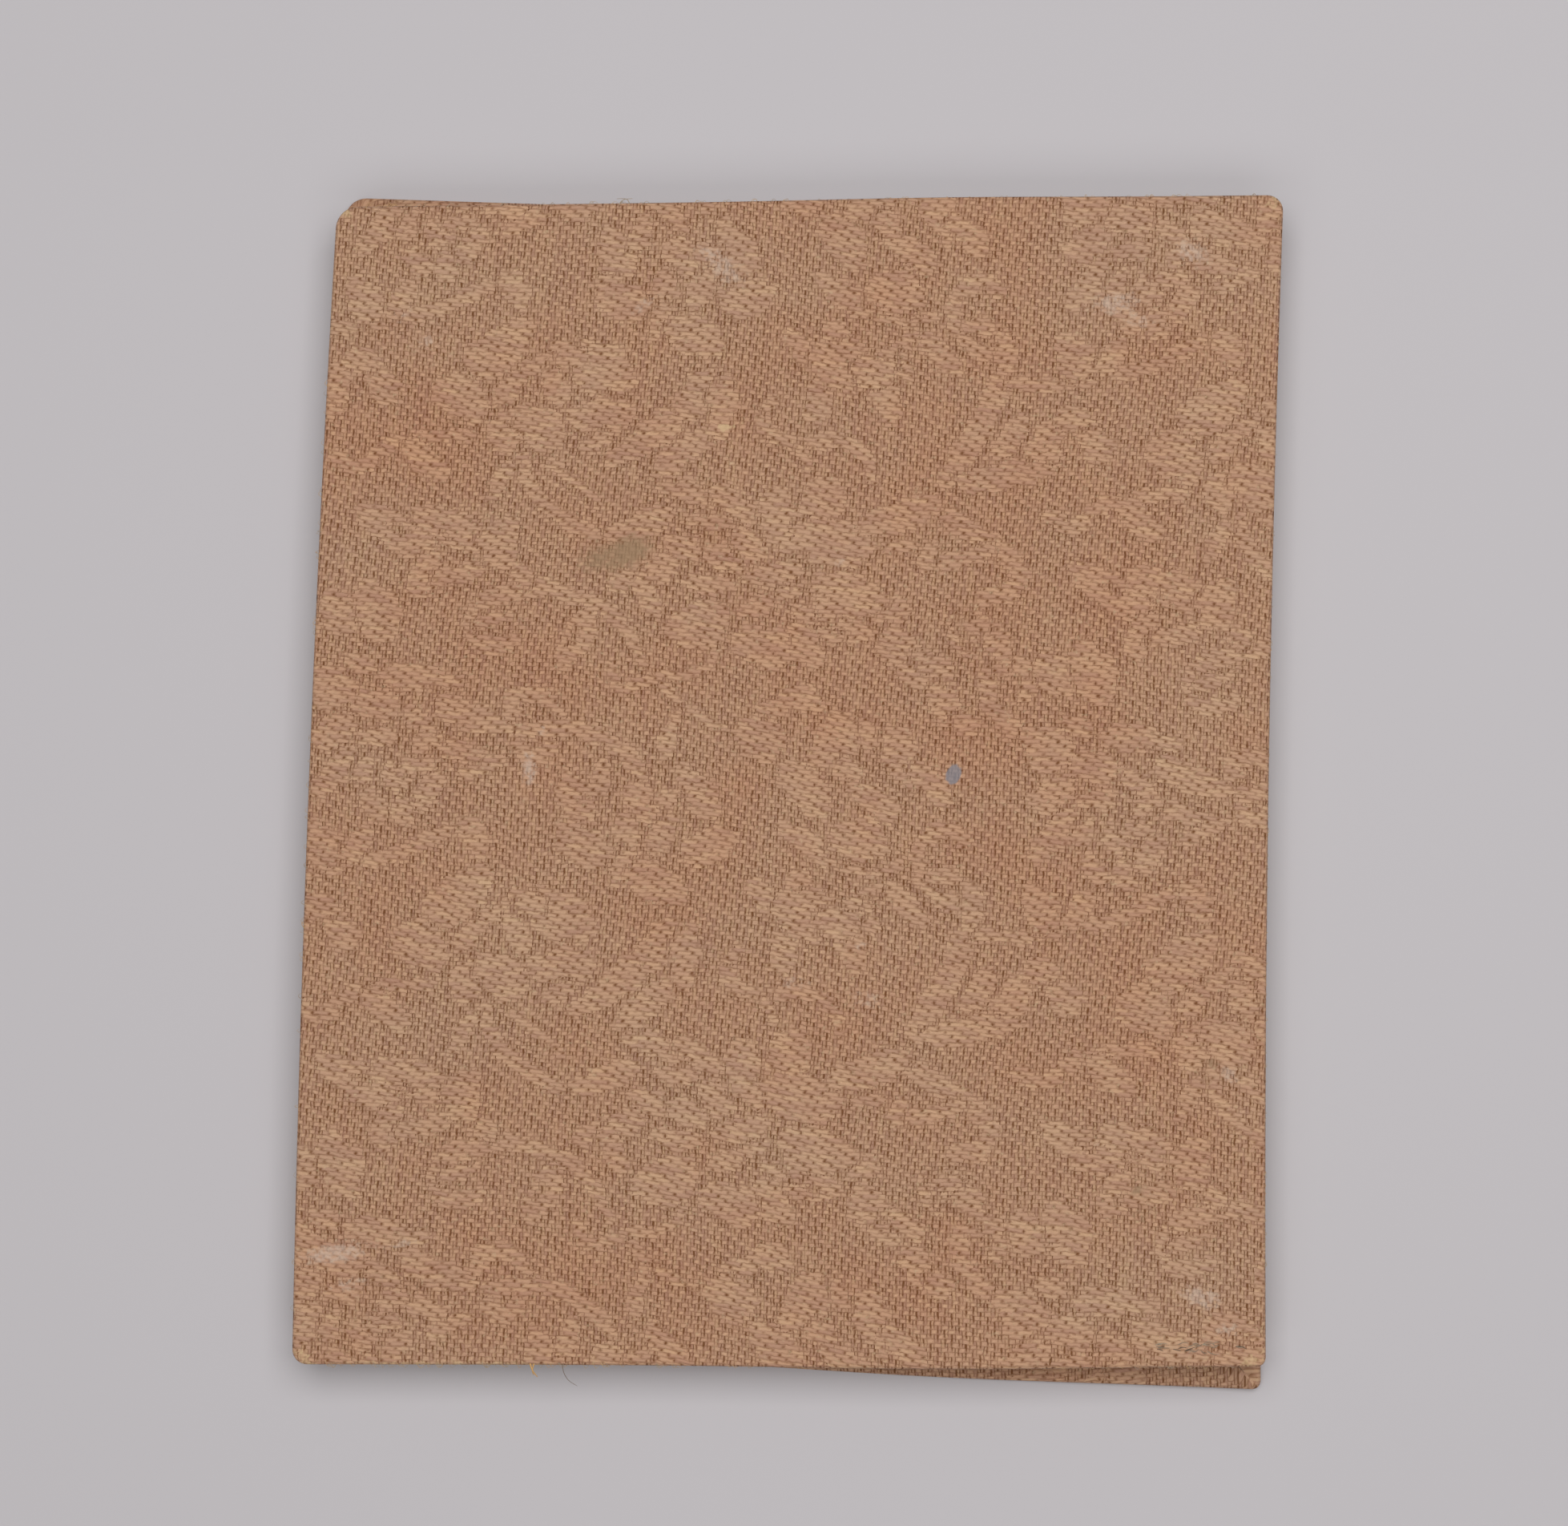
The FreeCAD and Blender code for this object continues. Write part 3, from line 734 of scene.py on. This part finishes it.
# Painted shade: each point's colour is mixed from its thread's colour towards the dark shade colour by
# its shade.
damask.links.new(blended(damask, shown_shade, thread_color, given["Painted shade"]), result["Color"])

# The surface: round threads that sink in the hollows, with the beads on top.
rounded = mixed(in_figure, rise(across_end, 0.0, 1.3), rise(across_pick, 0.0, 1.4))
sunk = reckon("MAXIMUM", shade, reckon("MULTIPLY", rounded, beside_bead))
damask.links.new(reckon("SUBTRACT", 1.0, sunk), result["Height"])


def cloth_material():
    """Worn silk damask, faded and handled unevenly."""
    made, tree, shader = new_material("figured_damask", roughness=0.85)
    for label, value in (("Sheen Weight", 0.06), ("Sheen Roughness", 0.5), ("Specular IOR Level", 0.25)):
        shader.inputs[label].default_value = value
    figure, slope, wear, stain = [
        node(tree, "Attribute", attribute_name=label) for label in ("figure", "slope", "wear", "stain")]
    # The weave's colour has painted shade between its threads, in the dark third colour below.
    weave = node(tree, "Group", {
        "Threads": node(tree, "UVMap", uv_map="threads").outputs[0],
        "Figure": figure.outputs["Fac"], "Slope": slope.outputs["Vector"],
        "Weft": (0.521, 0.327, 0.213, 1), "Warp": (0.469, 0.287, 0.185, 1),
        "Painted shade": (0.175, 0.071, 0.024, 1)}, node_tree=damask)

    # Broad patches that have stayed pinker, with soft and uneven edges.
    place = node(tree, "TexCoord").outputs["Object"]
    soil, scuff, rub = node(tree, "SeparateXYZ", {0: wear.outputs["Vector"]}).outputs
    ink, tint, _ = node(tree, "SeparateXYZ", {0: stain.outputs["Vector"]}).outputs
    cloud = node(tree, "TexNoise", {"Vector": place, "Scale": 110, "Detail": 4, "Roughness": 0.65})
    cloud_tint = maths(tree, "MULTIPLY_ADD", cloud.outputs["Fac"], 4.4, -2.2)
    pink = between(tree, maths(tree, "ADD", tint, cloud_tint), -2.0, 2.0)
    color = blended(tree, pink, weave.outputs["Color"], (1.0, 0.86, 0.80), way="MULTIPLY")

    # Marks of use, broken up by the threads. Ink has soaked in, so it is broken up least.
    grain = node(tree, "TexNoise", {"Vector": place, "Scale": 2200, "Detail": 2}).outputs["Fac"]
    broken = maths(tree, "MULTIPLY_ADD", grain, 2.0, -1.0)
    for mark, breaking, low, high, strength, mark_color in (
            (soil, 1.0, 0.0, 1.6, 0.8, (0.31, 0.198, 0.112)),
            (scuff, 1.0, 0.25, 1.25, 0.6, (0.60, 0.46, 0.37)),
            (rub, 1.0, 0.2, 1.0, 0.8, (0.62, 0.43, 0.24)),
            (ink, 0.25, 0.4, 1.0, 0.85, (0.245, 0.225, 0.24))):
        broken_mark = maths(tree, "MULTIPLY_ADD", broken, breaking, mark)
        share = maths(tree, "MULTIPLY", between(tree, broken_mark, low, high), strength)
        color = blended(tree, share, color, mark_color)
    tree.links.new(color, shader.inputs["Base Color"])
    bumped(tree, shader, weave.outputs["Height"], 0.00005)
    return made


# Loose threads. Where the silk has worn through at head and tail of the front cover, a few ends of
# its threads stick out, bent and flattened by handling. They are one piece with the cloth.

# The long ones: tone, radius and points, from the middle of the front cover's outside. They are
# both ends of a thick orange pick, a dark curl, and two ends at the head.
LONG_ENDS = [
    (0.05, 0.11, [(-24.6, -58.6, -.2), (-24.3, -59.5, -.25), (-23.8, -60.2, -.5)]),
    (0.12, 0.09, [(-24.1, -58.7, -.2), (-24.3, -59.5, -.3), (-24.2, -60.0, -.6)]),
    (0.85, 0.045, [(-21.3, -58.6, -.2), (-21.2, -59.6, -.3), (-20.7, -60.5, -.5), (-19.8, -61.1, -.7)]),
    (0.5, 0.06, [(-19.4, 58.7, -.15), (-18.9, 59.3, -.2), (-18.0, 59.5, -.5)]),
    (0.7, 0.05, [(-18.2, 58.8, -.15), (-18.6, 59.4, -.3), (-19.6, 59.5, -.5)])]

# The frayed strip at the tail, by the hinge: its two ends, its place, and its strands.
FRAYED_ENDS = (37.5, 46.6)
FRAYED_PLACE = -57.2
FRAYED_COUNT = 26

# Fine fibres along each edge: whether it is a side, their count, the edge's place and their reach.
EDGE_FIBRES = [(False, 120, -59.1, 46.5), (False, 70, 59.05, 46.0),
               (True, 80, 48.4, 56.0), (True, 40, -48.6, 56.0)]
TUBE_SIDES = 6


def thread_tube(points, radius):
    """A closed tube through these points, thinner towards its last one."""
    line = smooth_line(points, 5)
    ahead = np.gradient(line, axis=0)
    ahead /= np.linalg.norm(ahead, axis=1)[:, None]
    beside = np.cross(ahead, (0.1, 0.2, 1.0))
    beside /= np.linalg.norm(beside, axis=1)[:, None]
    over = np.cross(ahead, beside)
    turn = np.linspace(0, 2 * math.pi, TUBE_SIDES, endpoint=False)[None, :, None]
    thick = np.linspace(radius, 0.4 * radius, len(line))[:, None, None]
    rings = line[:, None] + thick * (np.cos(turn) * beside[:, None] + np.sin(turn) * over[:, None])
    faces = [(ring + side, ring + (side + 1) % TUBE_SIDES,
              ring + TUBE_SIDES + (side + 1) % TUBE_SIDES, ring + TUBE_SIDES + side)
             for ring in range(0, (len(line) - 1) * TUBE_SIDES, TUBE_SIDES) for side in range(TUBE_SIDES)]
    last = (len(line) - 1) * TUBE_SIDES
    faces += [tuple(range(TUBE_SIDES))[::-1], tuple(range(last, last + TUBE_SIDES))]
    return rings.reshape(-1, 3), faces


def frayed_strand(rng):
    """One short strand of the frayed strip."""
    x = rng.uniform(*FRAYED_ENDS)
    y = FRAYED_PLACE + rng.uniform(-0.45, 0.5)
    way, length = rng.uniform(-0.35, 0.35), rng.uniform(0.6, 1.3)
    step_x, step_y = length * math.cos(way), length * math.sin(way)
    tone = rng.uniform(0.45, 0.95)
    middle = (x + step_x / 2, y + step_y / 2 + rng.uniform(-0.2, 0.2), .1)
    return tone, 0.045, [(x, y, -.04), middle, (x + step_x, y + step_y, -.03)]


def edge_fibre(rng, is_side, edge, reach):
    """One fine fibre along a worn edge, a little way over it."""
    place = rng.uniform(-reach, reach)
    half_height = COVERS["front"][0] / 2
    at = edge - SIDE_BOW * (1 - (place / half_height) ** 2) if is_side else edge
    out = math.copysign(1, edge)
    length, beyond = rng.uniform(0.3, 0.9), rng.uniform(0.02, 0.22)
    path = [(place, at - 0.35 * out, -.06), (place + length / 2, at + beyond * out, -.3),
            (place + length, at - 0.1 * out, -.45)]
    if is_side:
        path = [(x, y, z) for y, x, z in path]
    return rng.uniform(0.15, 0.6), rng.uniform(0.02, 0.035), path


def loose_threads():
    """The threads that stick out of the front cloth, as one mesh with a tone for each thread."""
    rng = np.random.default_rng(7)
    strands = LONG_ENDS + [frayed_strand(rng) for _ in range(FRAYED_COUNT)]
    for is_side, count, edge, reach in EDGE_FIBRES:
        strands += [edge_fibre(rng, is_side, edge, reach) for _ in range(count)]

    middle = np.array([*cover_middle("front"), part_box("front_cloth")[1].z / MM])
    slant = math.tan(math.radians(COVERS["front"][1]))
    points, faces, tones = [], [], []
    for tone, radius, path in strands:
        path = np.array(path)
        path[:, 1] += path[:, 0] * slant
        ring_points, ring_faces = thread_tube(path + middle, radius)
        faces.extend(tuple(n + len(tones) for n in face) for face in ring_faces)
        points.append(ring_points)
        tones.extend([tone] * len(ring_points))
    piece = new_piece("loose_threads", np.concatenate(points), faces)
    keep_values(piece.data, "tone", np.array(tones))
    piece.data.shade_smooth()
    return piece


thread_ends = loose_threads()
made, tree, shader = new_material("thread_ends")
tone = node(tree, "Attribute", attribute_name="tone").outputs["Fac"]
strand_color = blended(tree, between(tree, tone, 0.0, 0.5), (0.62, 0.36, 0.13), (0.40, 0.31, 0.22))
strand_color = blended(tree, between(tree, tone, 0.6, 1.0), strand_color, (0.10, 0.07, 0.05))
tree.links.new(strand_color, shader.inputs["Base Color"])
thread_ends.data.materials.append(made)
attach(thread_ends, "front_cover")


# The two cloths. Each is cut to the size of its cover with a flap all round, and pasted on its
# own board. The loose threads belong to the front one.
damask_cloth = cloth_material()
way_round = turned_path()[:, 2].max() * MM
for side, (height, _, _) in COVERS.items():
    cloth = cover_cloth(side)
    cloth.data.materials.append(damask_cloth)
    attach(cloth, side + "_cover")
    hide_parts(side + "_cloth")


# Paper. One long strip of soft handmade paper, folded by hand in a zigzag of twelve free panels.
# Its two end panels are pasted over the turned-in cloth, where they sink a little into the
# window between the flaps. The folds beside them are the book's hinges.
PAPER = 0.18
END_PANEL = 0.2
PANEL_COUNT = 12
PANEL_PITCH = 0.29
FOLD_SETBACK = 1.835
PAGE_LINES = 25

# Lines across an end panel: shares of the way over a flap, then steps in from the window's edge.
# The paper sinks to the board over this width.
FLAP_SHARES = (0, 0.35, 0.7)
WINDOW_STEPS = [0, 0.25, 0.5, 0.75, 1.0, 1.3, 2.0]
SINKING_WIDTH = 1.3

fold_radius = PANEL_PITCH / 2
strip_low, strip_high = [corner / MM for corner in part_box("page_strip")]
hinge_x = strip_high.x - fold_radius - PAPER / 2
fore_x = strip_low.x + fold_radius + PAPER / 2
front_hinge_z = strip_high.z - fold_radius - PAPER / 2
back_hinge_z = front_hinge_z - PANEL_COUNT * PANEL_PITCH
page_lines = np.linspace(strip_low.y, strip_high.y, PAGE_LINES)
paper = pulp_material("handmade_paper", pale=(0.74, 0.67, 0.54), dark=(0.67, 0.59, 0.455),
                      flecks_per_metre=420, depth=0.00002)


def paper_sheet(name, points, thickness):
    """A sheet of paper of this thickness, with its middle on a grid of points in millimetres."""
    piece = new_piece(name, points.reshape(-1, 3), grid_faces(*points.shape[:2], 0).tolist())
    bpy.ops.object.select_all(action="DESELECT")
    piece.select_set(True)
    bpy.context.view_layer.objects.active = piece
    bpy.ops.object.modifier_add(type="SOLIDIFY")
    thickened = piece.modifiers["Solidify"]
    thickened.thickness = thickness * MM
    thickened.offset = 0
    thickened.use_even_offset = True
    bpy.ops.object.modifier_apply(modifier=thickened.name)
    bpy.ops.object.shade_smooth_by_angle(angle=math.radians(35))
    piece.data.materials.append(paper)
    return piece


def strip_line(y):
    """The strip's middle line at this place up the page, from the front hinge to the back one.

    No two folds are quite in line, and no panel is quite flat."""
    up = y / strip_high.y
    line = [(hinge_x, y, front_hinge_z - fold_radius)]
    slip = 0
    for number in range(1, PANEL_COUNT + 1):
        is_at_hinge = number % 2 == 0
        side = 1 if is_at_hinge else -1
        lean = 0.16 * math.sin(2.3 * number) + 0.14 * up * math.sin(3.7 * number + 1)
        x = (hinge_x - FOLD_SETBACK if is_at_hinge else fore_x) + lean
        z = front_hinge_z - number * PANEL_PITCH
        if number == PANEL_COUNT:
            x = hinge_x
        start_x, start_slip, slip = line[-1][0], slip, 0.25 * math.sin(1.7 * number)
        bulge = 0.03 * math.sin(1.9 * number + 2.1 * up)
        for share in np.linspace(0, 1, 10)[1:]:
            line.append((start_x + (x - start_x) * share, y + start_slip + (slip - start_slip) * share,
                         z + fold_radius + bulge * math.sin(math.pi * share)))
        if number < PANEL_COUNT:
            for turn in np.radians(np.linspace(90, -90, 9)[1:]):
                line.append((x + side * fold_radius * math.cos(turn), y + slip,
                             z + fold_radius * math.sin(turn)))
    return line


page_strip = paper_sheet("page_strip_folded", np.array([strip_line(y) for y in page_lines]), PAPER)
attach(page_strip, "pages")
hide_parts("page_strip")


def lines_over_window(edge_low, window_low, window_high, edge_high):
    """Places across an end panel, closest together where it steps down past the flaps."""
    first, last = window_low + WINDOW_STEPS[-1], window_high - WINDOW_STEPS[-1]
    lines = [edge_low + (window_low - edge_low) * share for share in FLAP_SHARES]
    lines += [window_low + step for step in WINDOW_STEPS]
    lines += [first + (last - first) * share for share in np.linspace(0, 1, 14)[1:-1]]
    lines += [window_high - step for step in WINDOW_STEPS[::-1]]
    lines += [edge_high + (window_high - edge_high) * share for share in FLAP_SHARES[::-1]]
    return lines


def end_panel_middle(side):
    """The middle of a pasted end panel, as a grid of points in millimetres."""
    height, skew, outward = COVERS[side]
    low, high = [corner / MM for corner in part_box(side + "_end_panel")]
    middle_x, middle_y = cover_middle(side)
    open_x, open_y = COVER_WIDTH / 2 - FLAP_STEPS[-1], height / 2 - FLAP_STEPS[-1]

    level_rows = np.array(lines_over_window(low.y, middle_y - open_y, middle_y + open_y, high.y))
    bow = SIDE_BOW * (1 - ((level_rows - middle_y) / (height / 2)) ** 2)
    x = np.array(lines_over_window(low.x, middle_x - open_x - bow, middle_x + open_x - bow, hinge_x)).T
    skewed_y = (x - middle_x) * math.tan(math.radians(skew)) + middle_y
    y = np.array([lines_over_window(low.y, middle - open_y, middle + open_y, high.y)
                  for middle in skewed_y[0]]).T
    inside = np.minimum(open_x - abs(x - middle_x + bow[:, None]), open_y - abs(y - skewed_y))
    sunk = np.clip(inside / SINKING_WIDTH, 0, 1)
    sunk = CLOTH * sunk * sunk * (3 - 2 * sunk)
    face = low.z if outward > 0 else high.z
    return np.stack([x, y, face + outward * (END_PANEL / 2 + sunk)], -1)


for side, hinge_z in (("front", front_hinge_z), ("back", back_hinge_z)):
    panel = paper_sheet(side + "_end_panel_pasted", end_panel_middle(side), END_PANEL)
    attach(panel, side + "_cover")
    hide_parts(side + "_end_panel")

    outward = COVERS[side][2]
    turns = np.radians(np.linspace(-90, 90, 13)) * outward
    arc = [[(hinge_x + fold_radius * math.cos(turn), y, hinge_z + fold_radius * math.sin(turn))
            for turn in turns] for y in page_lines]
    fold = paper_sheet(side + "_hinge_fold", np.array(arc), PAPER)
    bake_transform(fold)


# Floor: a plain pale sheet that the book lies on. It isn't part of the object.
bpy.ops.mesh.primitive_plane_add(size=8)
floor = bpy.context.object
floor.name = "floor"
floor_material, tree, shader = new_material("pale_floor", 0.95)
shader.inputs["Base Color"].default_value = (0.53, 0.505, 0.52, 1)
floor.data.materials.append(floor_material)

# Light: a soft box close above the book, a weaker and wider one beyond the tail, and an even room.
world = bpy.data.worlds.new("room")
bpy.context.scene.world = world
world.use_nodes = True
room = world.node_tree.nodes["Background"].inputs
room["Color"].default_value = (1, 1, 1, 1)
room["Strength"].default_value = 0.16
for name, place, width, depth, power in (
        ("box_above", (0.05, 0.13, 0.6), 0.58, 0.46, 3.2),
        ("box_beyond_tail", (0.0, -0.55, 0.7), 1.1, 0.5, 2.35)):
    lamp = bpy.data.lights.new(name, "AREA")
    lamp.shape = "RECTANGLE"
    lamp.size, lamp.size_y = width, depth
    lamp.energy = power
    box = bpy.data.objects.new(name, lamp)
    box.location = place
    bpy.context.scene.collection.objects.link(box)

# Camera: almost straight above the book.
camera_data = bpy.data.cameras.new("camera")
camera_data.sensor_width = 36
camera_data.lens = 82.17
camera = bpy.data.objects.new("camera", camera_data)
camera.location = (0.01689, -0.03054, 0.36593)
camera.rotation_euler = (math.radians(5.106), math.radians(2.629), math.radians(1.561))
bpy.context.scene.collection.objects.link(camera)
bpy.context.scene.camera = camera
bpy.context.scene.view_settings.view_transform = "Standard"
